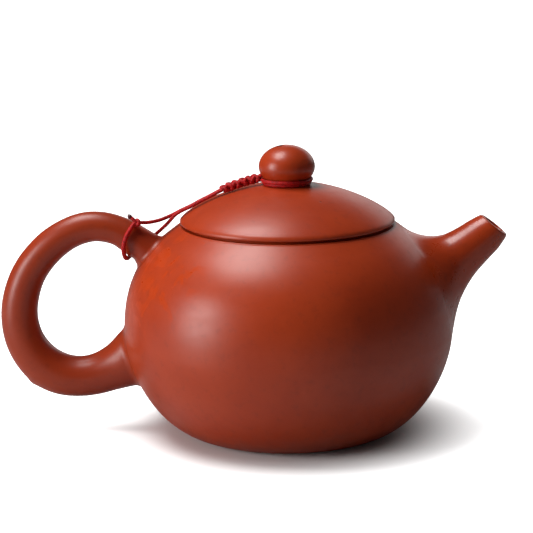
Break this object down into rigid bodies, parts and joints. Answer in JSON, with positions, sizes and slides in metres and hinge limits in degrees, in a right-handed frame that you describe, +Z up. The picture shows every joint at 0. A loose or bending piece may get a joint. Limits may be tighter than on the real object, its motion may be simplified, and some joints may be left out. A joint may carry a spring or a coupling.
{
  "type": "clay teapot",
  "caption": "Low round unglazed red clay teapot with a loop handle, short straight spout, domed bead-knob lid and a red cord that ties the knob to the handle.",
  "frame": {"origin": "centre of the flat base, on the axis the body, mouth and lid are turned about", "axes": "+Z up along the pot's axis, +X towards the spout, -X towards the handle"},
  "size_m": [0.1387, 0.09, 0.0788],
  "materials": {
    "red_clay": "unglazed, satin, red-brown",
    "red_cord": "braided polyester knotting cord"
  },
  "bodies": {
    "pot": {"body_shell": "red_clay", "base_disc": "red_clay", "mouth_ring": "red_clay", "spout": "red_clay", "handle": "red_clay", "handle_loop": "red_cord", "handle_knot": "red_cord", "cord_tail": "red_cord"},
    "tether": {"knob_loop": "red_cord", "braid": "red_cord", "strand_a": "red_cord", "strand_b": "red_cord"},
    "lid": {"lid_cap": "red_clay", "lid_flange": "red_clay", "lid_knob": "red_clay"}
  },
  "joints": [
    {"name": "lid_lift", "type": "slide", "parent": "pot", "child": "tether", "axis": [0, 0, 1], "range_m": [0, 0.01], "deforming": ["strand_a", "strand_b"]},
    {"name": "lid_turn", "type": "hinge", "parent": "tether", "child": "lid", "pos_m": [0, 0, 0.0579], "axis": [0, 0, 1], "continuous": true}
  ]
}
